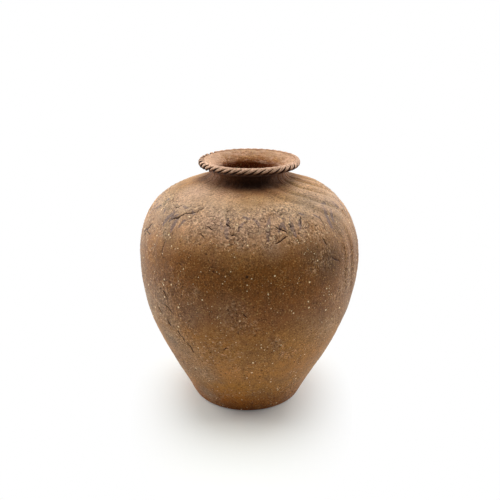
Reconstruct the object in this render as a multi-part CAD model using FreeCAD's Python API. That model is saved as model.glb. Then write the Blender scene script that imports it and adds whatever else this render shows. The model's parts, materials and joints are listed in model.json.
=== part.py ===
import FreeCAD, Part
import math
import os

# A tall-shouldered stoneware storage jar (onggi), built the way a potter builds it:
# a flat base slab, rings of clay stacked and beaten into a wall, a closing shoulder,
# a short neck collar, a flared mouth and a notched rope of clay laid along the lip.
# Every clay piece is its own solid and meets its neighbour on the joint it was
# pressed together along. Millimetres, +Z up, origin in the middle of the foot.

Vector = FreeCAD.Vector

# ---- Driving dimensions -----------------------------------------------------

# Thicknesses of the clay.
WALL = 7.5                      # wall of the beaten rings, measured square to it
BASE_THICKNESS = 12.0           # base slab, from the ground to the floor inside
FOOT_EDGE = 4.0                 # rounding where the slab meets the ground
WALL_LAP = 9.0                  # length by which a ring overlaps the one below, inside

# Base slab: the outer radius on the ground and at the slab's top edge.
FOOT_RADIUS = 63.0
SLAB_RADIUS = 68.4

# Wall rings: how far each one rises, and the outer radius where it ends.
RING_1_RISE = 38.0
RING_1_RADIUS = 88.6
RING_2_RISE = 38.0
RING_2_RADIUS = 106.6
RING_3_RISE = 40.0
RING_3_RADIUS = 118.9
RING_4_RISE = 41.0
RING_4_RADIUS = 122.9
RING_5_RISE = 36.0
RING_5_RADIUS = 118.5
RING_6_RISE = 29.5
RING_6_RADIUS = 100.6

# Shoulder ring: closes the jar in towards the neck.
SHOULDER_RISE = 16.9
SHOULDER_RADIUS = 72.3
CLOSING_RISE = 7.4
CLOSING_SLOPE = 19.0            # degrees above level where the shoulder meets the neck

# Neck collar: a short upright ring with a straight throat that takes a stopper.
NECK_RADIUS = 41.4
NECK_RISE = 8.2
NECK_SPREAD = 8.6               # how much wider than the neck the collar's foot is
NECK_WALL = 7.0
THROAT_LENGTH = 9.6
THROAT_ENTRY_SLOPE = 30.0       # degrees above level where the collar starts, inside

# Mouth flare and the rope of clay along its lip.
FLARE_RISE = 9.3                # from the collar to the middle of the rope
FLARE_REACH = 8.2               # how far the lip's edge stands out past the neck
ROPE_RADIUS = 3.7               # half the rope's thickness
ROPE_SEAT = 2.0                 # the lip's edge lies this far inside the centre line
FLARE_UNDER_SLOPE = 28.0        # degrees above level, underside of the lip
NOTCH_COUNT = 40
NOTCH_SLANT = 38.0              # degrees that the notches lean from upright
NOTCH_DEPTH = 1.0
NOTCH_WIDTH_RADIUS = 1.5        # radius of the stick that pressed the notches
NOTCH_SWEEP = 165.0             # degrees round the rope that one notch reaches
NOTCH_START = -60.0             # degrees below level where a notch starts, outside


# ---- Helpers ----------------------------------------------------------------

def point(radius, height):
    """A point of the jar's half section."""
    return Vector(radius, 0.0, height)


def direction(degrees):
    """A unit direction in the half section, measured up from level, outwards."""
    angle = math.radians(degrees)
    return Vector(math.cos(angle), 0.0, math.sin(angle))


def smooth_curve(points, start=None, end=None):
    """A curve through the points, with the given directions at its ends."""
    curve = Part.BSplineCurve()
    if start is None:
        curve.interpolate(Points=points)
    else:
        curve.interpolate(Points=points, InitialTangent=start, FinalTangent=end)
    return curve


def line(start, end):
    return Part.LineSegment(start, end).toShape()


def between(curve, start, end):
    """The stretch of a curve from one of its points to another, as an edge."""
    return curve.toShape(curve.parameter(start), curve.parameter(end))


def turned(edges):
    """The solid that a closed outline makes when it is turned about the axis."""
    wire = Part.Wire(Part.__sortEdges__(edges))
    return Part.Face(wire).revolve(Vector(0, 0, 0), Vector(0, 0, 1), 360)


def inside_of(curve, station):
    """The inner end of the joint that starts at an outer station.

    It lies one lap lower along the wall, and one wall thickness in.
    """
    lower = curve.parameterAtDistance(-WALL_LAP, curve.parameter(station))
    along = curve.tangent(lower)[0]
    inwards = Vector(-along.z, 0.0, along.x)
    return curve.value(lower) + inwards * WALL


# ---- The jar's half section -------------------------------------------------

RINGS = [
    ("wall_coil_1", RING_1_RISE, RING_1_RADIUS),
    ("wall_coil_2", RING_2_RISE, RING_2_RADIUS),
    ("wall_coil_3", RING_3_RISE, RING_3_RADIUS),
    ("wall_coil_4", RING_4_RISE, RING_4_RADIUS),
    ("wall_coil_5", RING_5_RISE, RING_5_RADIUS),
    ("wall_coil_6", RING_6_RISE, RING_6_RADIUS),
    ("shoulder_coil", SHOULDER_RISE, SHOULDER_RADIUS),
]

foot = point(FOOT_RADIUS, 0.0)
slab_edge = point(SLAB_RADIUS, BASE_THICKNESS)
outer_stations = [slab_edge]
height = BASE_THICKNESS
for _, rise, radius in RINGS:
    height += rise
    outer_stations.append(point(radius, height))
closing_height = height + CLOSING_RISE
closing = point(NECK_RADIUS + NECK_SPREAD, closing_height)

foot_lean = (slab_edge - foot).normalize()
closing_run = direction(180.0 - CLOSING_SLOPE)
outside = smooth_curve([foot] + outer_stations + [closing], foot_lean, closing_run)

# Inside, the wall starts at the slab's top, one wall in from the edge.
floor_corner = point(SLAB_RADIUS - WALL / foot_lean.z, BASE_THICKNESS)
inner_stations = [floor_corner]
for station in outer_stations[1:-1]:
    inner_stations.append(inside_of(outside, station))
inner_closing = inside_of(outside, closing)
inside = smooth_curve(inner_stations + [inner_closing],
                      foot_lean, direction(180.0 - THROAT_ENTRY_SLOPE))

collar_top = closing_height + NECK_RISE
rope_height = collar_top + FLARE_RISE
neck_top = point(NECK_RADIUS, collar_top)
throat_radius = NECK_RADIUS - NECK_WALL
throat_top = point(throat_radius, collar_top)
throat_bottom = point(throat_radius, collar_top - THROAT_LENGTH)
lip_radius = NECK_RADIUS + FLARE_REACH
rope_ring_radius = lip_radius + ROPE_SEAT
lip_half = math.sqrt(ROPE_RADIUS ** 2 - ROPE_SEAT ** 2)
lip_top = point(lip_radius, rope_height + lip_half)
lip_bottom = point(lip_radius, rope_height - lip_half)
# The rope's own slope where it leaves the lip, so that mouth and rope run smoothly.
lip_slope = math.degrees(math.asin(ROPE_SEAT / ROPE_RADIUS))
upright = direction(90.0)


# ---- Clay pieces ------------------------------------------------------------

def base_slab():
    """The flat slab that the jar stands on, with its lower edge rounded."""
    axis_low = point(0.0, 0.0)
    axis_high = point(0.0, BASE_THICKNESS)
    slab = turned([
        line(axis_low, foot),
        between(outside, foot, slab_edge),
        line(slab_edge, axis_high),
        line(axis_high, axis_low),
    ])
    ground_edge = [edge for edge in slab.Edges
                   if edge.BoundBox.ZMax < FOOT_EDGE / 10 and edge.Closed]
    return slab.makeFillet(FOOT_EDGE, ground_edge)


def wall_ring(index):
    """One ring of the wall, between two slanting joints."""
    low_out, high_out = outer_stations[index], outer_stations[index + 1]
    low_in, high_in = inner_stations[index], inner_stations[index + 1]
    return turned([
        between(outside, low_out, high_out),
        line(high_out, high_in),
        between(inside, low_in, high_in),
        line(low_in, low_out),
    ])


def shoulder_ring():
    """The ring that closes the shoulder in to the foot of the neck."""
    low_out, low_in = outer_stations[-2], inner_stations[-1]
    return turned([
        between(outside, low_out, closing),
        line(closing, inner_closing),
        between(inside, low_in, inner_closing),
        line(low_in, low_out),
    ])


def neck_collar():
    """The short upright neck, with the straight throat inside."""
    outer = smooth_curve([closing, neck_top], closing_run, upright)
    entry = smooth_curve([inner_closing, throat_bottom],
                         direction(180.0 - THROAT_ENTRY_SLOPE), upright)
    return turned([
        outer.toShape(),
        line(neck_top, throat_top),
        line(throat_top, throat_bottom),
        entry.toShape(),
        line(inner_closing, closing),
    ])


def mouth_flare():
    """The mouth, opening from the throat out to the edge that carries the rope."""
    under = smooth_curve([neck_top, lip_bottom], upright, direction(FLARE_UNDER_SLOPE))
    upper = smooth_curve([throat_top, lip_top], upright, direction(lip_slope))
    return turned([
        under.toShape(),
        line(lip_bottom, lip_top),
        upper.toShape(),
        line(throat_top, neck_top),
    ])


def notch():
    """The stick mark of one notch: part of a small ring laid slanting over the rope."""
    ring_radius = ROPE_RADIUS + NOTCH_WIDTH_RADIUS - NOTCH_DEPTH
    mark = Part.makeTorus(ring_radius, NOTCH_WIDTH_RADIUS,
                          Vector(0, 0, 0), Vector(0, -1, 0), 0, 360, NOTCH_SWEEP)
    mark.rotate(Vector(0, 0, 0), Vector(0, 1, 0), -NOTCH_START)
    mark.rotate(Vector(0, 0, 0), Vector(1, 0, 0), -NOTCH_SLANT)
    mark.translate(point(rope_ring_radius, rope_height))
    return mark


def rope_band():
    """The coil of clay along the lip, notched all round to look like a rope."""
    outermost = point(rope_ring_radius + ROPE_RADIUS, rope_height)
    coil = turned([
        Part.Arc(lip_bottom, outermost, lip_top).toShape(),
        line(lip_top, lip_bottom),
    ])
    first = notch()
    marks = []
    for index in range(NOTCH_COUNT):
        mark = first.copy()
        mark.rotate(Vector(0, 0, 0), Vector(0, 0, 1), 360.0 * index / NOTCH_COUNT)
        marks.append(mark)
    return coil.cut(marks)


# ---- Writing the pieces -----------------------------------------------------

def write(name, shape):
    solids = shape.Solids
    if len(solids) != 1 or not solids[0].isValid():
        raise ValueError(name + " is not one sound solid")
    solids[0].exportStep("parts/" + name + ".step")
    box = solids[0].BoundBox
    print(f"{name:14s} z {box.ZMin:7.2f} to {box.ZMax:7.2f}, radius {box.XMax:7.2f}, "
          f"volume {solids[0].Volume / 1000:7.1f} cm3")


os.makedirs("parts", exist_ok=True)
write("base_slab", base_slab())
for number, (name, _, _) in enumerate(RINGS[:-1]):
    write(name, wall_ring(number))
write("shoulder_coil", shoulder_ring())
write("neck_collar", neck_collar())
write("mouth_flare", mouth_flare())
write("rope_band", rope_band())
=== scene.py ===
import json
import math
from functools import partial

import bpy
import numpy as np
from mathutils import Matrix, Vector


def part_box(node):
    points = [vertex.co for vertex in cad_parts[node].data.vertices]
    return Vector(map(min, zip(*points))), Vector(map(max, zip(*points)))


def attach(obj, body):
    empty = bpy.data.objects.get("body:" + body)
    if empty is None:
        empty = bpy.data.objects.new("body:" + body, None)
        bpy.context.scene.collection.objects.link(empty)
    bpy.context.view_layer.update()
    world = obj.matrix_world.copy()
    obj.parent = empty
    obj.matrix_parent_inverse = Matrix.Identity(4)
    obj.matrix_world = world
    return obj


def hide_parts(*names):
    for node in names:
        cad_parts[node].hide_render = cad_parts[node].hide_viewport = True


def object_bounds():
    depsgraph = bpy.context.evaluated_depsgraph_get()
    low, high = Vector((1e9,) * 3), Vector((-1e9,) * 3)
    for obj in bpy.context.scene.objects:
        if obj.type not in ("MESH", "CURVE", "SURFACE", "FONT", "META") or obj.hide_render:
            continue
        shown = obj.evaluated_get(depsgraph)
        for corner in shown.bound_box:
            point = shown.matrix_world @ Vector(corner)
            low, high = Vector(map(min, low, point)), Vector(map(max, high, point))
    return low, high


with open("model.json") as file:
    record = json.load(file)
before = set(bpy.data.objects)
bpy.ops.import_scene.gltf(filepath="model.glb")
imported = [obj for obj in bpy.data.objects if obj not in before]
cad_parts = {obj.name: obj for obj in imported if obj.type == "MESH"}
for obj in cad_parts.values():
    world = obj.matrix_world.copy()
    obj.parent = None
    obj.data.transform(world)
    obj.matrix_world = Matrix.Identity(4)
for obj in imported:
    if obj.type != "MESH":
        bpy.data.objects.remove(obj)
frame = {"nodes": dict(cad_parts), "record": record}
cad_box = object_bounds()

# The looks of a hand-built stoneware jar (onggi): every clay piece of the CAD model is
# replaced by its beaten, cracked and pitted surface. Metres, +Z up, the front faces -Y.
# An azimuth of 0 is the front, and it grows towards +X, the right of the picture.

MM = 0.001

# ---- Camera and picture ----

CAMERA_PLACE = (2.1 * MM, -738.6 * MM, 438.2 * MM)
CAMERA_DIP = 19.74               # degrees below level
CAMERA_LENS = 49.3               # mm, on a sensor 36 mm wide

# ---- The jar's own sizes that the CAD boxes don't give ----

FOOT_RADIUS = 63.0 * MM          # outer radius on the ground, before the edge is rounded
FOOT_EDGE = 4.0 * MM             # rounding of that edge
SHOULDER_TURN = (72.3 * MM, 251.4 * MM)     # where the shoulder turns in (radius, height)
CLOSING_SLOPE = 19.0             # degrees above level where shoulder meets neck
ENTRY_SLOPE = 30.0               # degrees above level where the collar starts, inside
LIP_UNDER_SLOPE = 28.0           # degrees above level, underside of the lip's edge
LIP_TOP_SLOPE = 33.0             # degrees above level, upper side of the lip's edge
ROPE_RADIUS = 3.7 * MM
ROPE_SEAT = 2.0 * MM             # the lip's edge lies this far inside the rope's middle
ROPE_STRANDS = 40                # slanting ridges round the lip
STRAND_SLANT = 1.7               # sideways run of a strand for each rise up the rope's side
STRAND_CURL = 40.0               # how much flatter it runs over the top, per metre
WALL_RINGS = [f"wall_coil_{number}" for number in range(1, 7)]

# ---- How fine the meshes are ----

COLUMNS = 1080                   # steps round the jar, 0.7 mm apart at the widest
ROPE_COLUMNS = 1920              # steps round the rope, 48 to a strand
FIRST_AZIMUTH = math.radians(-135.0)        # texture bands are cut here and each quarter on
OUTER_ROWS = 58                  # rows up the outside of one wall ring
SHOULDER_ROWS = 66
NECK_ROWS = 30
FLARE_ROWS = 26
INNER_ROWS = 14
JOINT_ROWS = 3
EDGE_ROWS = 8                    # up the rounding of the foot
SLAB_ROWS = 14
ROPE_ROWS = 44
# Rings of a flat disc: their share of its radius, and how many times fewer points each has.
DISC_RINGS = [(0.93, 1), (0.85, 2), (0.7, 1), (0.55, 2), (0.4, 1), (0.25, 2), (0.12, 1)]
SAME_HEIGHT = 0.02 * MM          # the points of one edge differ by less
DRUM_RADIUS = 100.0 * MM         # of the plain drum that marks are laid out on
STEP = 0.5 * MM                  # between the places of a line drawn on the skin

# ---- Marks that chance sets out ----

SEED = 280
BACK_CRACKS = 40
SMALL_PITS = 560
BACK_STAINS = 16                 # of each kind


# ---- Small tools ----

def eased(low, high, value):
    """0 below low, 1 above high, and a smooth step between them."""
    part = np.clip((value - low) / (high - low), 0.0, 1.0)
    return part * part * (3.0 - 2.0 * part)


def facing(around, middle, width):
    """1 at one azimuth (degrees), falling off about a width to either side of it."""
    return np.exp(-((np.degrees(around) - middle) / width)**2)


def heading(degrees):
    """A unit direction in the half section, measured up from level, outwards."""
    angle = math.radians(degrees)
    return np.array([math.cos(angle), math.sin(angle)])


def set_out(name, data):
    """A new object, put in the scene."""
    made = bpy.data.objects.new(name, data)
    bpy.context.scene.collection.objects.link(made)
    return made


def scrambled(cells, seed):
    """A repeatable whole number for every cell of a lattice, with no pattern to it."""
    mixed = cells[..., 0] * np.uint32(73856093)
    mixed = mixed ^ (cells[..., 1] * np.uint32(19349663))
    mixed = mixed ^ (cells[..., 2] * np.uint32(83492791))
    mixed = mixed ^ np.uint32((seed * 2654435761) % 2**32)
    for shift in (13, 15, 16):
        mixed = (mixed ^ (mixed >> np.uint32(shift))) * np.uint32(1274126177)
    return mixed ^ (mixed >> np.uint32(16))


LATTICE_SLOPES = np.array([(1, 1, 0), (-1, 1, 0), (1, -1, 0), (-1, -1, 0),
                           (1, 0, 1), (-1, 0, 1), (1, 0, -1), (-1, 0, -1),
                           (0, 1, 1), (0, -1, 1), (0, 1, -1), (0, -1, -1),
                           (1, 1, 0), (-1, 1, 0), (0, -1, 1), (0, -1, -1)], float)
CORNERS = [(x, y, z) for x in (0, 1) for y in (0, 1) for z in (0, 1)]


def lumps(place, size, seed, octaves=1):
    """Smooth random heights, about -1 to 1, whose lumps are about size across."""
    total = np.zeros(place.shape[:-1])
    for octave in range(octaves):
        scaled = place * (2.0**octave / size)
        cell = np.floor(scaled)
        part = scaled - cell
        cell = cell.astype(np.int64).astype(np.uint32)
        ease = part**3 * (part * (part * 6.0 - 15.0) + 10.0)
        for corner in CORNERS:
            pick = scrambled(cell + np.array(corner, np.uint32), seed + octave) & np.uint32(15)
            fall = (LATTICE_SLOPES[pick] * (part - corner)).sum(-1)
            weight = np.where(corner, ease, 1.0 - ease).prod(-1)
            total += fall * weight * 0.5**octave
    return total * 1.3           # which lets the highest come near 1


def mosaic(place, size, seed):
    """How far each place is from the nearest border of a random mosaic, in metres."""
    scaled = place / size
    cell = np.floor(scaled)
    nearest = np.full(place.shape[:-1], 9.0)
    second = nearest.copy()
    for corner in [(x, y, z) for x in (-1, 0, 1) for y in (-1, 0, 1) for z in (-1, 0, 1)]:
        tile = cell + corner
        whole = tile.astype(np.int64).astype(np.uint32)
        spot = np.stack([scrambled(whole, seed + axis) / 2.0**32 for axis in range(3)], -1)
        away = np.linalg.norm(tile + spot - scaled, axis=-1)
        second = np.minimum(second, np.maximum(nearest, away))
        nearest = np.minimum(nearest, away)
    return (second - nearest) * 0.5 * size


# ---- The half section, read from the CAD frame ----

def corner_of(node, end, side):
    """Radius and height of a node's outer or inner edge, at its top or bottom."""
    mesh = frame["nodes"][node].data
    place = np.empty(3 * len(mesh.vertices))
    mesh.vertices.foreach_get("co", place)
    x, y, height = place.reshape(-1, 3).T
    level = height.max() if end == "top" else height.min()
    radius = np.hypot(x, y)[abs(height - level) < SAME_HEIGHT]
    return (radius.max() if side == "outer" else radius.min()), level


def smooth_run(points, start, end):
    """A smooth line through points of the half section, with set directions at its ends.

    Gives the length at each point, and a function from length to place and direction.
    """
    points = np.array(points)
    steps = np.linalg.norm(np.diff(points, axis=0), axis=1)
    lengths = np.concatenate([[0.0], np.cumsum(steps)])
    slopes = np.diff(points, axis=0) / steps[:, None]
    last = len(points) - 1
    system = np.eye(last + 1)
    wanted = np.zeros((last + 1, 2))
    wanted[0], wanted[last] = start, end
    for i in range(1, last):
        system[i, i - 1:i + 2] = steps[i], 2.0 * (steps[i - 1] + steps[i]), steps[i - 1]
        wanted[i] = 3.0 * (steps[i] * slopes[i - 1] + steps[i - 1] * slopes[i])
    tangents = np.linalg.solve(system, wanted)

    def at(length):
        i = np.clip(np.searchsorted(lengths, length, "right") - 1, 0, last - 1)
        h = steps[i][:, None]
        t = (length - lengths[i])[:, None] / h
        place = ((1 + 2 * t) * (1 - t)**2 * points[i] + t * (1 - t)**2 * h * tangents[i]
                 + t**2 * (3 - 2 * t) * points[i + 1] - t**2 * (1 - t) * h * tangents[i + 1])
        along = (6 * t * (t - 1) * (points[i] - points[i + 1]) / h
                 + (1 - t) * (1 - 3 * t) * tangents[i] + t * (3 * t - 2) * tangents[i + 1])
        return place, along / np.linalg.norm(along, axis=1)[:, None]

    return lengths, at


foot = np.array([FOOT_RADIUS, 0.0])
slab_edge = np.array(corner_of("wall_coil_1", "bottom", "outer"))
floor_corner = np.array(corner_of("wall_coil_1", "bottom", "inner"))
foot_lean = (slab_edge - foot) / np.linalg.norm(slab_edge - foot)
closing_run = heading(180.0 - CLOSING_SLOPE)
seams = [corner_of(node, "top", "outer") for node in WALL_RINGS]
closing = corner_of("shoulder_coil", "top", "outer")
neck_top = corner_of("neck_collar", "top", "outer")
throat_top = corner_of("neck_collar", "top", "inner")
lip_top = corner_of("mouth_flare", "top", "outer")
throat = next(m for m in frame["record"]["mounts"] if m["name"] == "throat")
rope_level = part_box("rope_band")[1].z - ROPE_RADIUS
lip_bottom = (lip_top[0], 2.0 * rope_level - lip_top[1])

wall_lengths, wall_at = smooth_run([foot, slab_edge, *seams, SHOULDER_TURN, closing],
                                   foot_lean, closing_run)
neck_lengths, neck_at = smooth_run([closing, neck_top], closing_run, heading(90.0))
under_lengths, under_at = smooth_run([neck_top, lip_bottom], heading(90.0),
                                     heading(LIP_UNDER_SLOPE))

inner_joints = [corner_of(node, "bottom", "inner") for node in [*WALL_RINGS[1:], "shoulder_coil"]]
inner_closing = corner_of("neck_collar", "bottom", "inner")
inner_lengths, inner_at = smooth_run([floor_corner, *inner_joints, inner_closing],
                                     foot_lean, heading(180.0 - ENTRY_SLOPE))
throat_bottom = (throat_top[0], throat_top[1] - throat["dims"]["length_mm"] * MM)
entry_lengths, entry_at = smooth_run([inner_closing, throat_bottom],
                                     heading(180.0 - ENTRY_SLOPE), heading(90.0))
throat_lengths, throat_at = smooth_run([throat_bottom, throat_top], heading(90.0), heading(90.0))
mouth_lengths, mouth_at = smooth_run([throat_top, lip_top], heading(90.0),
                                     heading(LIP_TOP_SLOPE))


def stretch(run, start, end, rows):
    """Places and directions in even rows along a stretch of a run."""
    return run(np.linspace(start, end, rows + 1))


# ---- The jar's outer skin: one grid, which the pieces are cut from ----

azimuth = FIRST_AZIMUTH + np.arange(COLUMNS) * 2.0 * math.pi / COLUMNS

edge_turn = math.pi / 2.0 - math.atan2(foot_lean[0], foot_lean[1])
slab_start = FOOT_EDGE * (1.0 - foot_lean[0]) / foot_lean[1]
edge_end, _ = wall_at(np.array([slab_start]))
edge_middle = edge_end[0] - FOOT_EDGE * np.array([foot_lean[1], -foot_lean[0]])


def edge_at(length):
    """The rounding where the slab meets the ground."""
    angle = length / FOOT_EDGE - math.pi / 2.0
    out = np.stack([np.cos(angle), np.sin(angle)], -1)
    return edge_middle + FOOT_EDGE * out, np.stack([-out[:, 1], out[:, 0]], -1)


# The node that each stretch of the skin belongs to, its run, start, end and rows.
skin_parts = [("base_slab", edge_at, 0.0, edge_turn * FOOT_EDGE, EDGE_ROWS),
              ("base_slab", wall_at, slab_start, wall_lengths[1], SLAB_ROWS),
              *((ring, wall_at, *wall_lengths[number:number + 2], OUTER_ROWS)
                for number, ring in enumerate(WALL_RINGS, 1)),
              ("shoulder_coil", wall_at, wall_lengths[-3], wall_lengths[-1], SHOULDER_ROWS),
              ("neck_collar", neck_at, 0.0, neck_lengths[-1], NECK_ROWS),
              ("mouth_flare", under_at, 0.0, under_lengths[-1], FLARE_ROWS)]

# Neighbours share the row of points at their seam.
skin_rows = {}
skin_places, skin_runs = [], []
for part, run, start, end, rows in skin_parts:
    places, runs = stretch(run, start, end, rows)
    if skin_places:
        places, runs = places[1:], runs[1:]
    first = max(sum(map(len, skin_places)) - 1, 0)
    if part in skin_rows:
        first = skin_rows[part].start
    skin_places.append(places)
    skin_runs.append(runs)
    skin_rows[part] = slice(first, sum(map(len, skin_places)))
skin_radius, skin_height = np.concatenate(skin_places).T
skin_run = np.concatenate(skin_runs)
skin_along = np.concatenate([[0.0], np.cumsum(np.hypot(np.diff(skin_radius),
                                                       np.diff(skin_height)))])

LEAN_HEIGHTS = np.array([0, 50, 100, 150, 200, 222, 250, 262, 276]) * MM
LEAN_OFFSETS = np.array([-1.5, -0.8, 0.0, 0.9, 1.6, 0.3, -1.3, 0.0, 1.5]) * MM


def lean(height):
    """How far the jar's axis stands to the right of the true one: it was built by hand."""
    spread = np.linspace(-8 * MM, 8 * MM, 5)        # rounds the bends between the heights
    return np.mean([np.interp(height + shift, LEAN_HEIGHTS, LEAN_OFFSETS) for shift in spread], 0)


def round_about(radius, around, height):
    """Points at a radius and a height, on each of the azimuths around."""
    return np.stack(np.broadcast_arrays(radius * np.sin(around), -radius * np.cos(around),
                                        height), -1)


def turned(places, runs=None, relief=0.0, around=azimuth):
    """Points round the axis, moved square to the outline by the relief."""
    radius, height = places[:, 0, None], places[:, 1, None]
    if runs is None:
        runs = np.zeros_like(places)
    points = round_about(radius + relief * runs[:, 1, None], around,
                         height - relief * runs[:, 0, None])
    points[..., 0] += lean(height)
    return points


skin_section = np.stack([skin_radius, skin_height], -1)
skin_base = turned(skin_section)
level = skin_height[:, None]
# The same grid wrapped round a plain drum, for marks that run round or up the jar.
drum = round_about(DRUM_RADIUS, azimuth, skin_along[:, None])
random = np.random.default_rng(SEED)


# ---- Marks in the clay ----

def press(field, where, along, size, amount, soft=1.0):
    """Lays one round mark into a field of the skin; where marks meet, the stronger stays."""
    radius = np.interp(along, skin_along, skin_radius)
    first, last = np.searchsorted(skin_along, [along - size, along + size])
    middle = int(round((where - FIRST_AZIMUTH) / (2.0 * math.pi) * COLUMNS))
    half = int(size / radius / (2.0 * math.pi) * COLUMNS) + 1
    columns = np.arange(middle - half, middle + half + 1) % COLUMNS
    across = (azimuth[columns] - where + math.pi) % (2.0 * math.pi) - math.pi
    up = skin_along[first:last, None] - along
    away = np.hypot(across * radius, up) / size
    mark = amount * eased(0.0, soft, 1.0 - away)
    window = np.ix_(np.arange(first, last), columns)
    field[window] = np.maximum(field[window], mark)


def along_at(height):
    """How far up the skin a height in millimetres lies."""
    return np.interp(height * MM, skin_height, skin_along)


def dab(field, side, height, size, amount):
    """Presses a mark at an azimuth (degrees) and a height, as large as a radius (mm)."""
    press(field, math.radians(side), along_at(height), size * MM, amount)


def draw(field, where, along, sizes, amounts, soft=1.0):
    """Presses marks all along a line; each can have its own size and strength."""
    for mark in np.broadcast(where, along, sizes, amounts):
        press(field, *mark, soft)


def wandering(start_azimuth, start_height, slope, length, swing, bend=0.0, shake=0.0):
    """Places a step apart along a line on the skin that wanders off its slope."""
    steps = max(int(length / STEP), 2)
    drift = np.cumsum(random.normal(0.0, swing, steps))
    drift -= np.linspace(0.0, drift[-1] * 0.7, steps)
    angle = math.radians(slope) + drift + bend * np.linspace(-0.5, 0.5, steps)
    if shake:
        angle += random.normal(0.0, shake, steps)
    along = along_at(start_height) + np.cumsum(np.sin(angle)) * STEP
    radius = np.interp(along, skin_along, skin_radius)
    where = math.radians(start_azimuth) + np.cumsum(np.cos(angle) / radius) * STEP
    return where, along


CRACK_REACH = 1.5 * MM           # from the middle of a crack to the top of its lips
# Drying cracks: start azimuth (degrees), start height (mm), slope (degrees up from level,
# to the right), length (mm) and depth (mm). The back gets its own by chance.
DRYING_CRACKS = [
    (-49, 231, 36, 20, 1.6), (-42, 237, 38, 29, 0.9), (-52, 240, 33, 10, 0.8),
    (-23, 232, -5, 9, 0.9), (-12, 236, -35, 8, 0.9), (-9, 226, 21, 6, 1.2), (-72, 211, 12, 22, 1.1),
    (-27, 225, -8, 11, 0.6), (-48, 214, -81, 25, 0.4), (15, 233, -41, 15, 1.1),
    (21, 224, -158, 18, 0.9), (41, 217, -59, 11, 0.8), (44, 196, -34, 17, 0.9),
    (33, 238, -108, 13, 0.7), (24, 234, -73, 5, 1.0), (47, 235, -92, 20, 0.3),
    (-47, 159, -81, 12, 1.3), (-54, 137, -60, 14, 1.3), (-47, 143, -39, 15, 1.4),
    (-47, 124, -67, 10, 1.2), (-40, 115, -59, 18, 1.2), (-36, 102, -53, 18, 1.2),
    (-13, 103, 25, 7, 0.8), (-5, 129, -76, 5, 0.6), (-3, 149, -35, 7, 0.8), (58, 120, -60, 14, 0.4),
    (-20, 118, -20, 10, 0.3),
]
for _ in range(BACK_CRACKS):
    DRYING_CRACKS.append((random.uniform(72, 288), random.uniform(90, 245),
                          random.uniform(-60, 60), random.uniform(8, 34),
                          random.uniform(0.5, 1.1)))

groove, crack_and_notch_shade, fold, folded, pit, hollow, wash, ash, toast, scorch_and_shade, pale_wear_and_highlight = (
    np.zeros((len(skin_along), COLUMNS)) for _ in range(11))
for start, height, slope, length, depth in DRYING_CRACKS:
    where, along = wandering(start, height, slope, length * MM, 0.09, shake=0.6)
    taper = np.sin(np.linspace(0.15, math.pi - 0.1, len(where)))**0.5
    ragged = taper * random.uniform(0.55, 1.0, len(where))
    draw(groove, where, along, CRACK_REACH, 0.8 * depth * MM * ragged)
    draw(crack_and_notch_shade, where, along, CRACK_REACH, 0.70 + 0.50 * depth * ragged)

# Folds that the closing hand left on the right of the shoulder, and the beater's edges
# below them: azimuth, height (mm), slope, length (mm), width (mm), rise (mm), bend.
HAND_FOLDS = [
    (26, 257, -42, 50, 9.0, 1.2, 0.7), (46, 258, -48, 84, 12.0, 2.4, 0.7),
    (66, 258, -60, 66, 12.0, 2.8, 0.6), (88, 258, -78, 52, 12.0, 2.4, 0.4),
    (110, 256, -92, 46, 12.0, 1.6, 0.1), (48, 246, -40, 44, 9.0, 1.8, 0.5),
    (68, 244, -56, 40, 9.0, 1.8, 0.3),
    (57, 219, -88, 78, 7.5, 0.9, -0.1), (66, 226, -86, 95, 9.0, 1.3, 0.1),
    (79, 215, -90, 80, 9.0, 1.0, 0.0),
]
for start, height, slope, length, width, rise, bend in HAND_FOLDS:
    where, along = wandering(start, height, slope, length * MM, 0.0, bend)
    taper = np.sin(np.linspace(0.2, math.pi, len(where)))**0.7
    where, along, taper = where[::3], along[::3], taper[::3]
    draw(fold, where, along, width * MM, rise * MM * taper, 0.8)
    draw(folded, where, along, 1.4 * width * MM, min(rise / 1.8, 1.0) * taper, 0.6)

# Pits where grit burst out: azimuth, height (mm) and radius (mm); the rest fall by chance.
PLAIN_PITS = [(-21, 208, 1.6), (-3, 218, 1.8), (-1, 189, 2.4), (8, 62, 1.6), (-14, 66, 1.4)]
for _ in range(SMALL_PITS):
    PLAIN_PITS.append((random.uniform(-180, 180), random.uniform(6, 250),
                       0.7 + min(random.exponential(0.3), 0.6)))
for side, up, size in PLAIN_PITS:
    dab(hollow, side, up, 1.4 * size, 0.4 * size * MM)
    dab(pit, side, up, 1.1 * size, 1.0)

BRUSHED_RADIUS = 104.0           # mm, the wall's where the brushed band runs
# The brushed band: tufts of three leaning blades and a comma, a plain motif. Each stroke:
# sideways (mm), height (mm), slope, length (mm), width (mm), bend.
TUFT_STROKES = [
    (0, 222, 84, 25, 5.6, -0.4), (8, 228, 60, 15, 4.4, -0.8), (-9, 231, 114, 11, 4.2, 0.6),
    (13, 242, -20, 9, 4.4, 0.8),
]
TUFT_PLACES = [-44, -10, 11, 26, 51, *range(76, 310, 23)]
for middle in TUFT_PLACES:
    strength = random.uniform(0.7, 1.0)
    for sideways, height, slope, length, width, bend in TUFT_STROKES:
        start = middle + math.degrees((sideways + random.uniform(-2, 2)) / BRUSHED_RADIUS)
        where, along = wandering(start, height + random.uniform(-2, 2),
                                 slope + random.uniform(-12, 12),
                                 length * random.uniform(0.8, 1.15) * MM, 0.03, bend)
        load = np.sin(np.linspace(0.5, math.pi - 0.15, len(where)))**0.6
        where, along, load = where[::2], along[::2], load[::2]
        draw(wash, where, along, width * 0.7 * load * MM, strength * (0.5 + 0.5 * load), 0.8)
wash *= np.clip(1.0 + 0.6 * lumps(drum, 8 * MM, 41, 3), 0.0, 1.0)

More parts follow.
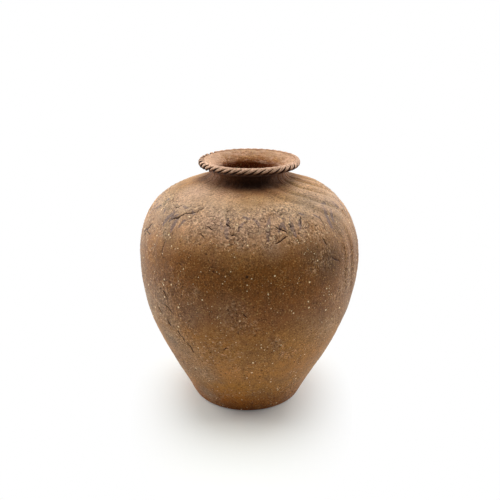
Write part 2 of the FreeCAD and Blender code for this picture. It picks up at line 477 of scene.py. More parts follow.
# Rough, crackled crust: a band round the shoulder, and loose patches below it. On the
# right of the shoulder the hand smoothed it.
band = eased(207 * MM, 222 * MM, level) * (1.0 - eased(242 * MM, 252 * MM, level))
smoothed = 0.8 * facing(azimuth, 58.0, 24.0)
crust = band * np.clip(0.85 + 0.7 * lumps(skin_base, 30 * MM, 11, 3) - smoothed, 0.0, 1.0)
loose = eased(0.1, 0.6, lumps(skin_base * (1, 1, 1.3), 48 * MM, 12, 2))
loose *= 0.45 * (1.0 - eased(205 * MM, 225 * MM, level))
for side, up, size in [(-50, 150, 42), (-40, 112, 40), (-14, 102, 34), (-60, 118, 36),
                       (-24, 84, 26), (-60, 196, 20), (-6, 150, 22)]:
    dab(loose, side, up, size, 0.62)
rough = np.maximum(crust, loose)
# Its bark is lumps 3 mm across, with a torn network of cracks and creases between them.
bark = lumps(skin_base * (1, 1, 1.25), 3.4 * MM, 5, 2)
border = mosaic(skin_base * (1, 1, 1.4), 6.0 * MM, 31)
border += 0.9 * MM * lumps(skin_base, 2.2 * MM, 32)
broken = eased(0.1, 0.5, lumps(skin_base, 7 * MM, 33, 2))
network = (1.0 - eased(0.1 * MM, 0.5 * MM, border)) * broken * rough
crease = eased(0.88, 1.0, 1.0 - 2.4 * abs(lumps(skin_base * (1, 1, 1.7), 7 * MM, 34, 2)))
crease *= rough * eased(-0.1, 0.3, lumps(skin_base, 12 * MM, 36))
# Painted shade in the bark's hollows and creases, and a painted highlight on its lumps' tops.
bark_hollow_shade = np.maximum(0.5 * rough * eased(0.2, 0.8, -bark), 0.8 * crease)
bark_lump_highlight = rough * eased(0.05, 0.6, bark) * (1.0 - crease)
# Painted highlight on the folds' crests, and painted shade in the valleys between them.
crest = folded * eased(0.9 * MM, 1.9 * MM, fold)
valley = folded * (1.0 - eased(0.2 * MM, 0.9 * MM, fold))

# Broad stains of the firing: azimuth, height (mm), radius (mm) and strength.
ASH_STAINS = [
    (62, 150, 70, 0.45), (78, 60, 80, 0.60), (84, 120, 80, 0.75), (49, 115, 44, 0.50),
    (34, 125, 44, 0.30), (62, 232, 50, 0.65), (50, 248, 34, 0.60), (-42, 252, 30, 0.50),
    (-60, 252, 30, 0.50), (-38, 84, 34, 0.55), (-33, 60, 34, 0.60), (-38, 20, 24, 0.60),
    (-44, 124, 28, 0.5), (-44, 240, 26, 0.4), (-10, 150, 34, 0.25), (-27, 145, 36, 0.25),
    (-66, 128, 46, 0.80), (-80, 96, 50, 0.90), (-84, 170, 60, 0.55), (-52, 135, 44, 0.60),
    (-48, 96, 44, 0.65), (-36, 88, 26, 0.40), (80, 205, 60, 0.50), (-74, 50, 60, 0.85),
    (-78, 205, 40, 0.45),
]
TOAST_STAINS = [
    (-4, 214, 34, 0.3), (14, 64, 40, 0.5), (6, 100, 34, 0.3), (-57, 190, 26, 0.25),
    (40, 34, 50, 0.3), (24, 100, 50, 0.25),
]
SCORCH_STAINS = [
    (40, 214, 40, 0.35), (52, 222, 44, 0.40), (62, 236, 34, 0.35), (44, 200, 36, 0.90),
    (50, 224, 22, 0.55), (33, 206, 28, 0.75), (36, 228, 24, 0.60), (42, 192, 34, 0.95),
    (11, 212, 20, 0.45), (56, 222, 24, 0.80), (-70, 222, 30, 0.45), (-56, 226, 26, 0.35),
    (-45, 216, 20, 0.60), (-36, 236, 14, 0.35), (-42, 90, 22, 0.3), (47, 244, 16, 0.35),
    (-52, 196, 24, 0.25), (-52, 92, 30, 0.50), (-50, 64, 34, 0.55), (-46, 124, 22, 0.40),
]
PALE_STAINS = [
    (-26, 254, 36, 1.1), (-50, 252, 36, 1.7), (-20, 236, 26, 1.5), (-12, 228, 20, 1.2),
    (-2, 228, 26, 1.0), (8, 234, 26, 0.9), (12, 218, 20, 0.7), (-30, 232, 26, 0.6),
    (28, 228, 20, 0.5), (52, 26, 40, 0.35),
]
for _ in range(BACK_STAINS):
    for stains in (ASH_STAINS, TOAST_STAINS, SCORCH_STAINS):
        stains.append((random.uniform(90, 270), random.uniform(40, 240),
                       random.uniform(25, 60), random.uniform(0.2, 0.6)))
for field, stains in ((ash, ASH_STAINS), (toast, TOAST_STAINS), (scorch_and_shade, SCORCH_STAINS),
                      (pale_wear_and_highlight, PALE_STAINS)):
    for side, up, size, strength in stains:
        dab(field, side, up, size, strength)
pale_wear_and_highlight = np.maximum(pale_wear_and_highlight, 0.8 * crest)
scorch_and_shade = np.maximum(scorch_and_shade, 0.65 * valley)
# Painted shade under the lip and at the top of the neck, all round and strongest at the front.
front = facing(azimuth, 8.0, 38.0)
underside_shade = eased(253 * MM, 264.5 * MM, level + 2 * MM * front) * (0.40 + 0.60 * front)
# The collar was scraped: upright scratches, dark, with pale clay rubbed bare between them.
scratches = lumps(drum * (1, 1, 0.06), 8 * MM, 63, 2)
collar = eased(254 * MM, 260 * MM, level) * (0.5 + 0.5 * np.sin(azimuth)**2)
scratched = collar * eased(0.0, 0.4, scratches)
scorch_and_shade = np.maximum(scorch_and_shade, 0.9 * scratched)
pale_wear_and_highlight = np.maximum(pale_wear_and_highlight, 0.8 * collar * eased(0.0, 0.4, -scratches))

# How far the clay stands proud of the smooth skin: swells left by building, dents of
# fingers and beater, faint rings of wiping, and then the crust and the marks.
relief = 0.75 * MM * lumps(skin_base * (1, 1, 1.4), 75 * MM, 1, 2)
relief += 0.16 * MM * lumps(skin_base, 9 * MM, 3, 2)
relief += 0.06 * MM * lumps(drum * (1, 1, 16), 28 * MM, 4, 2)
relief += (0.06 + 0.36 * rough) * MM * bark
relief += 0.14 * rough * MM * lumps(skin_base, 2.4 * MM, 6)
relief += fold - groove - hollow - 0.35 * MM * np.maximum(network, crease)
relief -= 0.4 * MM * scratched
near_lip = eased(lip_bottom[1] - 5 * MM, lip_bottom[1], level)
relief *= eased(-1 * MM, 9 * MM, level) * (1.0 - near_lip)
skin = turned(skin_section, skin_run, relief)
skin_fields = {"crack_and_notch_shade": crack_and_notch_shade, "pit": pit, "wash": wash, "crust": crust, "rough": rough,
               "dark": bark_hollow_shade, "light": bark_lump_highlight, "underside_shade": underside_shade, "ash": ash, "toast": toast,
               "scorch_and_shade": scorch_and_shade, "pale_wear_and_highlight": 0.5 * pale_wear_and_highlight}


# ---- Meshes ----

def bands(columns, rows, count, low, high):
    """Texture corners of a strip of faces, laid in bands one above the other."""
    edge = 0.003                 # left free round each band, so that none runs into the next
    tall = (high - low) / count
    wide = columns // count
    column = np.arange(columns)
    row = np.arange(rows)[:, None]
    corners = np.empty((rows, columns, 4, 2))
    for corner, (right, up) in enumerate([(0, 0), (1, 0), (1, 1), (0, 1)]):
        corners[:, :, corner, 0] = edge + (1 - 2 * edge) * (column % wide + right) / wide
        corners[:, :, corner, 1] = (low + (column // wide) * tall + edge
                                    + (tall - 2 * edge) * (row + up) / rows)
    return corners.reshape(-1, 2)


def quads(rows, columns, closed):
    """Faces between rows of points, each given by the rows' point numbers."""
    index = np.arange(rows * columns).reshape(rows, columns)
    above = np.roll(index, -1, axis=0)
    faces = np.stack([index, np.roll(index, -1, 1), np.roll(above, -1, 1), above], -1)
    return faces if closed else faces[:-1]


def clay_piece(node, vertices, corners, sizes, texture, fields, sharp_rows, columns):
    """A smooth-shaded mesh in place of one CAD node, sharp along some rows of points."""
    mesh = bpy.data.meshes.new(node + "_clay")
    mesh.vertices.add(len(vertices))
    mesh.vertices.foreach_set("co", vertices.astype(np.float32).ravel())
    mesh.loops.add(len(corners))
    mesh.loops.foreach_set("vertex_index", corners.astype(np.int32))
    mesh.polygons.add(len(sizes))
    starts = np.concatenate([[0], np.cumsum(sizes)[:-1]])
    mesh.polygons.foreach_set("loop_start", starts.astype(np.int32))
    mesh.update(calc_edges=True)
    mesh.shade_smooth()
    ends = np.empty(2 * len(mesh.edges), np.int32)
    mesh.edges.foreach_get("vertices", ends)
    row = ends.reshape(-1, 2) // columns
    sharp = (row[:, 0] == row[:, 1]) & np.isin(row[:, 0], sharp_rows)
    mesh.attributes.new("sharp_edge", "BOOLEAN", "EDGE").data.foreach_set("value", sharp)
    layer = mesh.uv_layers.new(name="OFBake")
    layer.uv.foreach_set("vector", texture.astype(np.float32).ravel())
    for field, values in fields.items():
        every = np.zeros(len(vertices), np.float32)
        every[:values.size] = values.ravel()
        mesh.attributes.new(field, "FLOAT", "POINT").data.foreach_set("value", every)
    mesh.validate()
    piece = set_out(node + "_clay", mesh)
    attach(piece, "root")
    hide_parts(node)
    return piece


def ring_piece(node, strips, heights, fields, inner_fields=None):
    """A closed ring of clay. Its strips of rows follow one another round its section: the
    outside, a joint and, but for the rope, the inside and the other joint.

    The heights are each strip's low and high on the texture, where the two wide strips lie
    in 4 bands. The fields belong to the outside, and the inner fields to the inside.
    """
    columns = strips[0].shape[1]
    rows = np.concatenate([strip[:-1] for strip in strips])
    faces = quads(len(rows), columns, True)
    texture = [bands(columns, len(strip) - 1, 1 if number % 2 else 4, *heights[number])
               for number, strip in enumerate(strips)]
    ends = np.cumsum([0] + [len(strip) - 1 for strip in strips[:-1]])
    fields = dict(fields, inside=np.zeros((len(rows), columns)))
    fields["inside"][ends[1] + 1:] = 1.0
    for name, values in (inner_fields or {}).items():
        fields[name] = np.zeros((len(rows), columns))
        fields[name][ends[2]:ends[3] + 1] = values
    return clay_piece(node, rows.reshape(-1, 3), faces.ravel(), np.full(faces.size // 4, 4),
                      np.concatenate(texture), fields, ends, columns)


def joint_between(start, end):
    """Rows of points across a joint, from one edge of the clay to the other."""
    part = np.linspace(0.0, 1.0, JOINT_ROWS + 1)[:, None, None]
    return start[None] * (1.0 - part) + end[None] * part


def inside_rows(run, start, end, rows):
    """Rows of points up a stretch of the jar's inside, uneven but for the mouth's edge."""
    places, runs = stretch(run, start, end, rows)
    base = turned(places)
    bumps = 0.4 * MM * lumps(base, 45 * MM, 21)
    bumps += 0.1 * MM * lumps(base * (1, 1, 3), 14 * MM, 22, 2)
    bumps *= 1.0 - eased(lip_top[1] - 5 * MM, lip_top[1], places[:, 1, None])
    return turned(places, runs, -bumps)


def fields_on(node):
    """The skin's fields, on the rows that one node is cut from."""
    return {name: values[skin_rows[node]] for name, values in skin_fields.items()}


def skin_ring(node, inner, heights, inner_fields=None):
    """A ring of clay whose outside is cut from the skin."""
    outer = skin[skin_rows[node]]
    strips = [outer, joint_between(outer[-1], inner[-1]),
              inner[::-1], joint_between(inner[0], outer[0])]
    return ring_piece(node, strips, heights, fields_on(node), inner_fields)


# Where each ring's outside, upper joint, inside and lower joint lie on its texture.
WALL_TEXTURE = [(0.0, 0.74), (0.97, 1.0), (0.75, 0.93), (0.94, 0.965)]
NECK_TEXTURE = [(0.0, 0.46), (0.95, 1.0), (0.47, 0.88), (0.89, 0.94)]
MOUTH_TEXTURE = [(0.0, 0.40), (0.95, 1.0), (0.41, 0.90), (0.91, 0.945)]
ROPE_TEXTURE = [(0.0, 0.9), (0.92, 1.0)]
SLAB_TEXTURE = [(0.0, 0.46)]


def wall_piece(node, first_inner):
    """One ring of the wall or the shoulder, between its two slanting joints."""
    inner = inside_rows(inner_at, inner_lengths[first_inner], inner_lengths[first_inner + 1],
                        INNER_ROWS)
    return skin_ring(node, inner, WALL_TEXTURE)


def neck_piece():
    """The short neck, with the straight throat inside it."""
    entry = inside_rows(entry_at, 0.0, entry_lengths[-1], INNER_ROWS)
    straight = inside_rows(throat_at, 0.0, throat_lengths[-1], INNER_ROWS)
    inner = np.concatenate([entry, straight[1:]])
    return skin_ring("neck_collar", inner, NECK_TEXTURE)


def flare_piece():
    """The opened mouth, up to the edge that carries the rope.

    Char from the fire lies deep in it, most at the far right, and runs out in fingers; deepest down
    it is painted shade as well.
    Towards its edge, and on the left, the clay is rubbed pale.
    """
    upper = inside_rows(mouth_at, 0.0, mouth_lengths[-1], 2 * INNER_ROWS)
    rise = np.linspace(0.0, 1.0, len(upper))[:, None]
    fingers = lumps(upper * (1, 1, 3), 16 * MM, 61, 3)
    streaks = lumps(upper * (1, 1, 1.5) + 0.25 * rise[..., None] * upper[-1], 9 * MM, 64, 2)
    far_right, left = facing(azimuth, 160.0, 55.0), facing(azimuth, -95.0, 42.0)
    sides = 0.5 - 0.5 * np.cos(2.0 * azimuth)
    deep = np.clip(1.25 - 1.2 * rise, 0.0, 1.0)
    char_and_deep_shade = (0.5 + 0.6 * far_right) * deep * (1.0 - 0.6 * left) + 1.3 * fingers + 0.7 * streaks
    rubbed = 0.8 * left + 0.3 * sides * rise + 0.6 * fingers - 0.6 * streaks + 0.1
    inner_fields = {"char_and_deep_shade": np.clip(char_and_deep_shade, 0.0, 1.0)[::-1],
                    "pale_wear_and_highlight": np.clip(rubbed, 0.0, 0.85)[::-1]}
    return skin_ring("mouth_flare", upper, MOUTH_TEXTURE, inner_fields)


def disc(points, rim, upward):
    """Fills a level rim, given by its points' numbers, with rings of ever fewer points.

    Gives all the points, the new ones last, and the triangles between them.
    """
    edge, middle = points[rim], points[rim].mean(0)
    made, triangles = [points], []
    outer, stride, total = rim, 1, len(points)
    for part, step in DISC_RINGS:
        stride *= step
        ring = middle + (edge[::stride] - middle) * part
        inner = total + np.arange(len(ring))
        low, following = outer[::step], np.roll(inner, -1)
        between = outer[1::2] if step == 2 else np.roll(outer, -1)
        triangles += [np.stack([low, between, inner], -1),
                      np.stack([between, following, inner], -1)]
        if step == 2:
            triangles.append(np.stack([between, np.roll(low, -1), following], -1))
        made.append(ring)
        total += len(ring)
        outer = inner
    made.append(middle[None])
    triangles.append(np.stack([outer, np.roll(outer, -1), np.full_like(outer, total)], -1))
    triangles = np.concatenate(triangles)
    return np.concatenate(made), triangles if upward else triangles[:, ::-1]


def slab_piece():
    """The base slab: its side, the flat it stands on, its joint and the floor inside."""
    side = skin[skin_rows["base_slab"]]
    joint = joint_between(side[-1], turned(floor_corner[None])[0])
    grid = np.concatenate([side, joint[1:]])
    rim = np.arange(COLUMNS)
    points, below = disc(grid.reshape(-1, 3), rim, False)
    first_floor = len(points)
    points, floor = disc(points, rim + (len(grid) - 1) * COLUMNS, True)

    side_faces = len(side) - 1
    faces = quads(len(grid), COLUMNS, False)
    top = np.concatenate([faces[side_faces:].ravel(), floor.ravel()])
    corners = np.concatenate([faces[:side_faces].ravel(), below.ravel(), top])
    sizes = np.concatenate([np.full(side_faces * COLUMNS, 4), np.full(len(below), 3),
                            np.full(JOINT_ROWS * COLUMNS, 4), np.full(len(floor), 3)])
    # The two flats are discs side by side on the texture, above the bands of the side.
    scale = 0.23 / (slab_edge[0] + 4 * MM)
    texture = np.concatenate([bands(COLUMNS, side_faces, 4, *SLAB_TEXTURE[0]),
                              points[below.ravel(), :2] * scale + (0.25, 0.74),
                              points[top, :2] * scale + (0.75, 0.74)])
    inside = np.ones(len(points))
    inside[:len(side) * COLUMNS] = 0.0
    inside[len(grid) * COLUMNS:first_floor] = 0.0
    return clay_piece("base_slab", points, corners, sizes, texture,
                      dict(fields_on("base_slab"), inside=inside), [side_faces], COLUMNS)


def rope_piece():
    """The coil of clay along the lip, pressed into slanting strands like a rope's."""
    around = FIRST_AZIMUTH + np.arange(ROPE_COLUMNS) * 2.0 * math.pi / ROPE_COLUMNS
    reach = math.acos(-ROPE_SEAT / ROPE_RADIUS)
    roll = np.linspace(-reach, reach, ROPE_ROWS + 1)
    ring = lip_top[0] + ROPE_SEAT
    section = np.stack([ring + ROPE_RADIUS * np.cos(roll),
                        rope_level + ROPE_RADIUS * np.sin(roll)], -1)
    runs = np.stack([-np.sin(roll), np.cos(roll)], -1)
    base = turned(section, around=around)

    # Strands are counted round the lip. They lean over the rope, less at the back, and
    # were pressed by hand, so none is as wide as the next.
    pitch = 2.0 * math.pi * (ring + ROPE_RADIUS) / ROPE_STRANDS
    arc = ROPE_RADIUS * roll[:, None]
    slant = STRAND_SLANT * arc + STRAND_CURL * np.maximum(arc, 0.0)**2
    upright = eased(math.radians(30), math.radians(75), abs(around + 0.1))
    slant = slant * (1.0 - 0.75 * upright)
    circle = round_about(ring, around, 0.0)
    uneven = 0.22 * lumps(circle, 38 * MM, 51) + 0.10 * lumps(circle, 9 * MM, 52)
    strand = ROPE_STRANDS * around / (2.0 * math.pi) - slant / pitch + uneven
    number = np.floor(strand)
    within = strand - number

    # How hard each notch was pressed: weakest on the right.
    cells = np.stack([np.mod(number, ROPE_STRANDS), 0 * number, 0 * number], -1)
    strength = 0.72 + 0.4 * scrambled(cells.astype(np.uint32), 53) / 2.0**32
    strength *= 1.0 - 0.7 * facing(around, 92.0, 36.0)

    # The share of its strand that a notch takes: wide below, and closing over the top.
    left = facing(around, -102.0, 38.0)
    behind = 0.5 - 0.5 * np.cos(around + math.radians(20.0))
    over = np.clip(roll, -1.0, 1.9)[:, None]
    share = 0.50 - (0.36 - 0.16 * behind) * over - 0.14 * over**2
    share += 0.20 * behind + left * (0.25 + 0.45 * over + 0.12 * over**2)
    share = np.clip(share, 0.0, 0.75) * strength
    cut = np.clip(1.0 - abs(within - 0.5) * 2.0 / np.maximum(share, 0.02), 0.0, 1.0)
    cut = np.sin(cut * math.pi / 2.0)**0.9 * eased(0.02, 0.3, share)

    fade = eased(0.0, 0.5, reach - abs(roll))[:, None]
    dip = np.cos((within - 0.5) * 2.0 * math.pi)
    relief = fade * (0.25 * MM - 0.2 * MM * dip - 1.5 * MM * cut * strength)
    relief += fade * 0.12 * MM * lumps(base, 2.5 * MM, 54, 2)
    rope = turned(section, runs, relief, around)

    # The strands get a painted highlight above and painted shade below, where only their ridges
    # stay lit.
    top_side = eased(-0.7, 0.3, roll)[:, None] * (1.0 - eased(1.7, 2.1, roll))[:, None]
    low_side = (1.0 - eased(-0.65, 0.30, roll))[:, None]
    ridge = eased(0.5, 1.0, 1.0 - cut)
    # Their notches are painted dark as shade, and their ridges get painted highlights.
    fields = {"crack_and_notch_shade": fade * eased(0.0, 0.40, cut),
              "pale_wear_and_highlight": 1.25 * top_side * ridge * (0.6 + 0.4 * strength),
              "light": 0.4 * ridge * low_side,
              "underside_shade": low_side * (1.20 - 0.42 * ridge)}
    return ring_piece("rope_band", [rope, joint_between(rope[-1], rope[0])], ROPE_TEXTURE,
                      fields)


# ---- Materials ----

def paint(hexed):
    """A colour written as sRGB hex, as the linear numbers that Blender works in."""
    parts = [int(hexed[i:i + 2], 16) / 255.0 for i in (1, 3, 5)]
    linear = [p / 12.92 if p <= 0.04045 else ((p + 0.055) / 1.055)**2.4 for p in parts]
    return (*linear, 1.0)


def add_node(tree, kind, inputs=(), stops=(), **settings):
    """Adds the node that Blender calls ShaderNode and its kind.

    Inputs are a list in the order of its sockets, or a dict by their names or numbers. Each
    is a value, a socket, or a node for its first output. Stops are a colour ramp's.
    """
    made = tree.nodes.new("ShaderNode" + kind)
    for name, value in settings.items():
        setattr(made, name, value)
    for number, (position, hexed) in enumerate(stops):
        if number > 1:
            made.color_ramp.elements.new(position)
        made.color_ramp.elements[number].position = position
        made.color_ramp.elements[number].color = paint(hexed)
    for socket, value in inputs.items() if isinstance(inputs, dict) else enumerate(inputs):
        if isinstance(value, bpy.types.Node):
            value = value.outputs[0]
        if isinstance(value, bpy.types.NodeSocket):
            tree.links.new(value, made.inputs[socket])
        else:
            made.inputs[socket].default_value = value
    return made


def emptied(owner):
    """Clears the nodes of a material or world, and gives add_node for its tree."""
    owner.use_nodes = True
    owner.node_tree.nodes.clear()
    return partial(add_node, owner.node_tree)


def per_metre(size):
    """The texture scale at which features are about size millimetres across."""
    return 1.0 / (size * MM)


JAR_HEIGHT = cad_box[1].z
GRAINS_END = (236 * MM, 252 * MM)   # heights between which the feldspar grains die out
GRAIN_SHARE = 0.50               # of the cells have no grain
FELDSPAR = "#FFEABC"

# The clay's patterns: how large their lumps are (mm), octaves, coarseness and distortion.
PATTERNS = {
    "clouds": (62, 4.0, 0.60, 0.0),         # where the flame lay longer
    "calm": (46, 2.0, 0.50, 0.0),           # smoother and grittier stretches of wall
    "veils": (33, 5.0, 0.60, 0.6),          # thin drifts of ash
    "mottle": (9, 5.0, 0.65, 0.0),          # blotches of iron in the clay
    "grit": (1.9, 2.0, 0.70, 0.0),          # its sandy grain
    "specks": (1.3, 1.0, 0.50, 0.0),        # single grains of sand and iron
    "long_hairs": (13, 3.0, 0.55, 1.2),     # hair cracks, which lie where this is halfway
    "long_breaks": (8, 2.0, 0.50, 0.0),     # and what interrupts them
    "short_hairs": (7, 3.0, 0.55, 1.2),
    "short_breaks": (6, 2.0, 0.50, 0.0),
}
HAIRS = [("long_hairs", "long_breaks", 0.034), ("short_hairs", "short_breaks", 0.038)]

# Fields of the mesh whose edges a pattern frays: name, field, pattern and how much.
FRAYED = [("opened", "crack_and_notch_shade", "grit", 0.5), ("painted", "wash", "mottle", 0.7),
          ("ragged_shade", "underside_shade", "mottle", 0.8)]

# What lies over the toasting, lowest first: the pattern or field, the values between which
# it comes in, how strongly, the field that it is held to, and its colour.
LAYERS = [
    ("veils", 0.52, 0.66, 0.25, None, "#5E4238"),
    ("mottle", 0.15, 0.55, 1.00, "ash", "#91806C"),
    # scorch stains, and painted shade in the folds' valleys
    ("mottle", 0.15, 0.55, 1.00, "scorch_and_shade", "#573D26"),
    ("mottle", 0.15, 0.55, 1.00, "toast", "#B07A36"),
    ("mottle", 0.46, 0.60, 0.40, "crust", "#98826E"),       # the crust is grey
    ("veils", 0.46, 0.34, 0.60, "crust", "#757058"),        # and greenish,
    ("veils", 0.50, 0.64, 0.50, "crust", "#A8743E"),        # and rusty between the bark's lumps;
    ("grit", 0.40, 0.56, 0.80, "light", "#E0B68E"),         # painted highlight on the lumps' tops and the rope's lower ridges
    ("grit", 0.38, 0.62, 0.20, "dark", "#5A3820"),          # painted shade in the bark's hollows and creases
    # char in the mouth, and painted shade deep in it
    ("mottle", 0.30, 0.60, 0.75, "char_and_deep_shade", "#7E4A26"),
    ("specks", 0.60, 0.70, 0.50, None, "#D8AC6C"),          # sand
    ("specks", 0.40, 0.30, 0.65, None, "#3A220F"),          # iron
    ("painted", 0.26, 0.56, 0.66, None, "#64565A"),         # thin iron wash, brushed on
    ("hair_lip", 0.0, 1.0, 0.50, None, "#E2BE94"),          # the lit lip of a hair crack
    # pale wear, and painted highlights on the folds' crests and the rope's upper side
    ("grit", 0.20, 0.50, 0.72, "pale_wear_and_highlight", "#D8B296"),
    ("ragged_shade", 0.05, 0.50, 0.66, None, "#74421E"),           # painted shade under the lip and on the rope's lower side, thin
    ("ragged_shade", 0.35, 0.90, 0.90, None, "#2C140A"),           # and thick
    ("pit", 0.0, 1.0, 1.0, None, "#26160D"),
    ("hair", 0.0, 1.0, 0.60, None, "#4A2814"),
    ("opened", 0.50, 0.78, 0.95, None, "#30170B"),          # the floor of a drying crack, and painted shade in the rope's notches
]


def hair_cracks(add, seen):
    """Adds to what is seen the hair cracks, which wander through the crackled crust and
    break off, and the lips beside them."""
    hairs, lips = [], []
    for line, breaks, wide in HAIRS:
        side = add("Math", [seen[line], 0.5], operation="SUBTRACT")
        beside = add("Math", [side, 1.9 * wide], operation="SUBTRACT")
        unbroken = add("MapRange", [seen[breaks], 0.50, 0.56, 0.0, 1.0])
        for lines, middle in ((hairs, side), (lips, beside)):
            away = add("Math", [middle], operation="ABSOLUTE")
            drawn = add("MapRange", [away, wide, 0.3 * wide, 0.0, 1.0])
            lines.append(add("Math", [drawn, unbroken], operation="MULTIPLY"))
    for kind, lines in (("hair", hairs), ("hair_lip", lips)):
        either = add("Math", lines, operation="MAXIMUM")
        seen[kind] = add("Math", [either, seen["rough"]], operation="MULTIPLY")


def mottled(add, colour, seen):
    """The colour with fine mottling and grit, lighter and darker: little where the wall is
    calm, and most in the crust."""
    calm = add("MapRange", [seen["calm"], 0.42, 0.60, 0.30, 1.15])
    lively = add("Math", [seen["rough"], 0.6, calm], operation="MULTIPLY_ADD")
    swing = add("Math", [seen["grit"], 0.5], operation="SUBTRACT")
    gritty = add("Math", [swing, lively, 0.5], operation="MULTIPLY_ADD")
    for pattern, darkest, lightest in ((seen["mottle"], 0.80, 1.20), (gritty, 0.60, 1.40)):
        gain = add("MapRange", [pattern, 0.3, 0.7, darkest, lightest])
        colour = add("Mix", {0: 1.0, 6: colour, 7: gain}, data_type="RGBA",
                     blend_type="MULTIPLY").outputs[2]
    return colour


def grained(add, colour, seen, place, height):
    """The colour with feldspar: cream grains up to 2 mm across, and many fine ones.

    Not every cell has one, and only those that the skin cuts through show.
    """
    below_neck = add("MapRange", [height, *GRAINS_END, 1.0, 0.0])
    outside = add("Math", [1.0, seen["inside"]], operation="SUBTRACT")
    bare = add("Math", [below_neck, outside], operation="MULTIPLY")
    grainy = add("MapRange", [seen["veils"], 0.42, 0.52, 0.0, 1.0])
    grainy = add("Math", [grainy, bare], operation="MULTIPLY")
    for cell, least, spread, held_to in ((7.0, 0.06, 0.11, bare), (3.0, 0.07, 0.15, grainy)):
        cells = add("TexVoronoi", {"Vector": place, "Scale": per_metre(cell)})
        chance = add("SeparateColor", [cells.outputs["Color"]])
        present = add("Math", [chance, GRAIN_SHARE], operation="GREATER_THAN")
        present = add("Math", [present, held_to], operation="MULTIPLY")
        grain = add("Math", [chance.outputs[1], spread, least], operation="MULTIPLY_ADD")
        grain = add("Math", [grain, present], operation="MULTIPLY")
        within = add("Math", [grain, cells.outputs["Distance"]], operation="SUBTRACT")
        spot = add("MapRange", [within, 0.0, 0.03, 0.0, 1.0])
        colour = add("Mix", {0: spot, 6: colour, 7: paint(FELDSPAR)},
                     data_type="RGBA").outputs[2]
    return colour


def fired_stoneware(name, zones, stain):
    """Unglazed iron stoneware, wood fired: a dry satin skin, toasted where the flame
    touched, greyed by ash, with burst feldspar grains, dark iron pits and open cracks."""
    material = bpy.data.materials.new(name)
    add = emptied(material)
    place = add("TexCoord").outputs["Object"]
    height = add("SeparateXYZ", [place]).outputs["Z"]
    seen = {}
    for field in (*skin_fields, "inside", "char_and_deep_shade"):
        seen[field] = add("Attribute", attribute_name=field).outputs["Fac"]
    for pattern, (size, octaves, coarseness, distortion) in PATTERNS.items():
        seen[pattern] = add("TexNoise", {"Vector": place, "Scale": per_metre(size),
                                         "Detail": octaves, "Roughness": coarseness,
                                         "Distortion": distortion}).outputs[0]

    # Colour by height, partly painted sheen and shade, its edges drifting with the clouds.
    drift = add("Math", [seen["clouds"], 0.14, -0.07], operation="MULTIPLY_ADD")
    tone_height = add("Math", [height, 1.0 / JAR_HEIGHT, drift], operation="MULTIPLY_ADD")
    colour = add("ValToRGB", [tone_height], zones)
    plain_height = add("Math", [height, 1.0 / JAR_HEIGHT], operation="MULTIPLY")
    inner = add("ValToRGB", [plain_height], INNER_ZONES)
    colour = add("Mix", {0: seen["inside"], 6: colour, 7: inner}, data_type="RGBA").outputs[2]

    hair_cracks(add, seen)
    for kind, field, pattern, amount in FRAYED:
        swing = add("Math", [seen[pattern], 0.5], operation="SUBTRACT")
        seen[kind] = add("Math", [swing, amount, seen[field]], operation="MULTIPLY_ADD")

    for kind, low, high, most, held_to, hexed in [("clouds", 0.50, 0.66, 0.30, None, stain),
                                                  *LAYERS]:
        mask = add("MapRange", [seen[kind], low, high, 0.0, most])
        if held_to:
            mask = add("Math", [mask, seen[held_to]], operation="MULTIPLY")
        colour = add("Mix", {0: mask, 6: colour, 7: paint(hexed)}, data_type="RGBA").outputs[2]

    colour = mottled(add, colour, seen)
    colour = grained(add, colour, seen, place, height)

    # A porous, unglazed skin hardly reflects. Its fine dust pales it at grazing angles.
    roughness = add("MapRange", [seen["mottle"], 0.3, 0.7, 0.55, 0.75])
    raised = add("Math", [seen["hair"], -1.2, seen["grit"]], operation="MULTIPLY_ADD")
    bump = add("Bump", {"Height": raised, "Strength": 0.8, "Distance": 0.4 * MM})
    shader = add("BsdfPrincipled", {"Base Color": colour, "Roughness": roughness,
                                    "Normal": bump, "Specular IOR Level": 0.08,
                                    "Sheen Weight": 0.10, "Sheen Roughness": 0.5})
    add("OutputMaterial", [shader])
    return material


# Colour up the jar, by share of its height. The pale tan of the upper shoulder, 0.765 to 0.90, is
# partly a painted sheen of the overhead light, and the darker tones from 0.93 up are partly painted
# shade under the lip.
BODY_ZONES = [(0.00, "#8C521A"), (0.04, "#A2621E"), (0.075, "#A66822"), (0.16, "#B27C3A"),
              (0.22, "#B47E46"), (0.37, "#AA763C"), (0.50, "#905E34"), (0.62, "#845222"),
              (0.70, "#855424"), (0.765, "#B27F50"), (0.81, "#CE9F76"), (0.865, "#C8A685"),
              (0.90, "#AE865A"), (0.93, "#9A683E"), (0.96, "#7E4624")]
# The mouth's outside: painted shade under the lip, lighter on the rope above it.
MOUTH_ZONES = [(0.0, "#6A3F1C"), (0.95, "#6A4028"), (0.97, "#8C6040")]
# The inside: darker deeper down, as painted shade in the throat and the jar.
INNER_ZONES = [(0.0, "#5C3018"), (0.90, "#5E2A10"), (0.94, "#6E3012"), (0.957, "#803E16"),
               (0.972, "#9C6A3E"), (0.99, "#BA9270")]


# ---- Scene ----

FLOOR_HALF = 3.0                 # metres, from its middle to its edge
FLOOR_DROP = 0.1 * MM            # clears the jar's foot
# The floor shows its own shade in an oval round the jar, and turns to white beyond it.
SHADE_SQUEEZE = (2.0, 1.0, 1.0)
SHADE_SHIFT = (0.014, 0.0, 0.0)
SHADE_ENDS = (0.11, 0.265)       # metres from its middle, front to back
SHADE_WHITE = 0.1                # how white it is even at the jar
CARD_SEEN = "#F7FAF5"
CARD_LIT = "#E6E4E0"             # in the light that it throws back on the jar

ROOM_TURN = (-0.7, 0.5)          # from the front of the room to its back, along Y
ROOM_LIGHT = (0.04, 0.36)        # and how brightly each end lights the jar

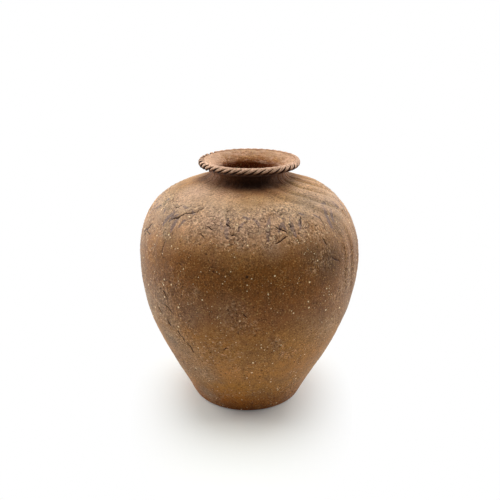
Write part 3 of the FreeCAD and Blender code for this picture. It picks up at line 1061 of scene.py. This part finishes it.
LAMP_AIM = (0.0, 0.0, 0.1)
# Soft lamps: place and size in metres, and power in watts.
SOFTBOXES = [("overhead", (0.0, 0.15, 1.8), 1.5, 26.0),
             ("left_panel", (-1.05, 0.45, 0.45), 1.0, 14.0),
             ("right_panel", (1.05, 0.45, 0.45), 1.0, 11.0)]


def in_view(add):
    """1 for what is seen, by itself or in a gloss or glass, and 0 for what only lights."""
    path = add("LightPath").outputs
    seen = path["Is Camera Ray"]
    for other in ("Is Glossy Ray", "Is Transmission Ray"):
        seen = add("Math", [seen, path[other]], operation="MAXIMUM")
    return seen


def floor_piece():
    """A white table top that keeps the jar's shadow and runs out into the white room."""
    mesh = bpy.data.meshes.new("floor")
    corners = [(-1, -1), (1, -1), (1, 1), (-1, 1)]
    mesh.from_pydata([(FLOOR_HALF * x, FLOOR_HALF * y, 0.0) for x, y in corners], [],
                     [(0, 1, 2, 3)])
    floor = set_out("floor", mesh)
    floor.location.z = -FLOOR_DROP
    material = bpy.data.materials.new("white_card")
    add = emptied(material)
    place = add("TexCoord").outputs["Object"]
    oval = add("VectorMath", [place, SHADE_SQUEEZE, SHADE_SHIFT], operation="MULTIPLY_ADD")
    far = add("VectorMath", [oval], operation="LENGTH").outputs["Value"]
    away = add("MapRange", [far, *SHADE_ENDS, SHADE_WHITE, 1.0])
    shown = add("Math", [away, in_view(add)], operation="MULTIPLY")
    camera_ray = add("LightPath").outputs["Is Camera Ray"]
    tone = add("Mix", {0: camera_ray, 6: paint(CARD_LIT), 7: paint(CARD_SEEN)},
               data_type="RGBA").outputs[2]
    card = add("BsdfDiffuse", {"Color": tone})
    white = add("Emission", {"Color": (1, 1, 1, 1), "Strength": 1.0})
    add("OutputMaterial", [add("MixShader", [shown, card, white])])
    mesh.materials.append(material)


def room():
    """A white room: seen as white, and lighting the jar softly, least from the open front."""
    world = bpy.data.worlds.new("white_room")
    bpy.context.scene.world = world
    add = emptied(world)
    way = add("TexCoord").outputs["Generated"]
    depth = add("SeparateXYZ", [way]).outputs["Y"]
    light = add("MapRange", [depth, *ROOM_TURN, *ROOM_LIGHT])
    strength = add("Mix", {0: in_view(add), 2: light, 3: 1.0}, data_type="FLOAT")
    back = add("Background", {"Color": (1, 1, 1, 1), "Strength": strength})
    add("OutputWorld", [back])


def softbox(name, place, size, power):
    """A soft square lamp that faces the jar."""
    lamp = bpy.data.lights.new(name, "AREA")
    lamp.shape = "SQUARE"
    lamp.size = size
    lamp.energy = power
    made = set_out(name, lamp)
    made.location = place
    aim = Vector(LAMP_AIM) - Vector(place)
    made.rotation_mode = "QUATERNION"
    made.rotation_quaternion = aim.to_track_quat("-Z", "Y")


camera = set_out("camera", bpy.data.cameras.new("camera"))
camera.data.lens = CAMERA_LENS
camera.data.sensor_width = 36.0
camera.location = CAMERA_PLACE
camera.rotation_euler = (math.radians(90.0 - CAMERA_DIP), 0.0, 0.0)
bpy.context.scene.camera = camera
bpy.context.scene.view_settings.view_transform = "Standard"

room()
floor_piece()
for lamp_name, lamp_place, lamp_size, watts in SOFTBOXES:
    softbox(lamp_name, lamp_place, lamp_size, watts)

body = fired_stoneware("wood_fired_stoneware_body", BODY_ZONES, "#6B5646")
mouth = fired_stoneware("wood_fired_stoneware_mouth", MOUTH_ZONES, "#A8794F")

clay = [slab_piece()]
for number, ring in enumerate([*WALL_RINGS, "shoulder_coil"]):
    clay.append(wall_piece(ring, number))
clay.append(neck_piece())
for piece in clay:
    piece.data.materials.append(body)
for piece in (flare_piece(), rope_piece()):
    piece.data.materials.append(mouth)
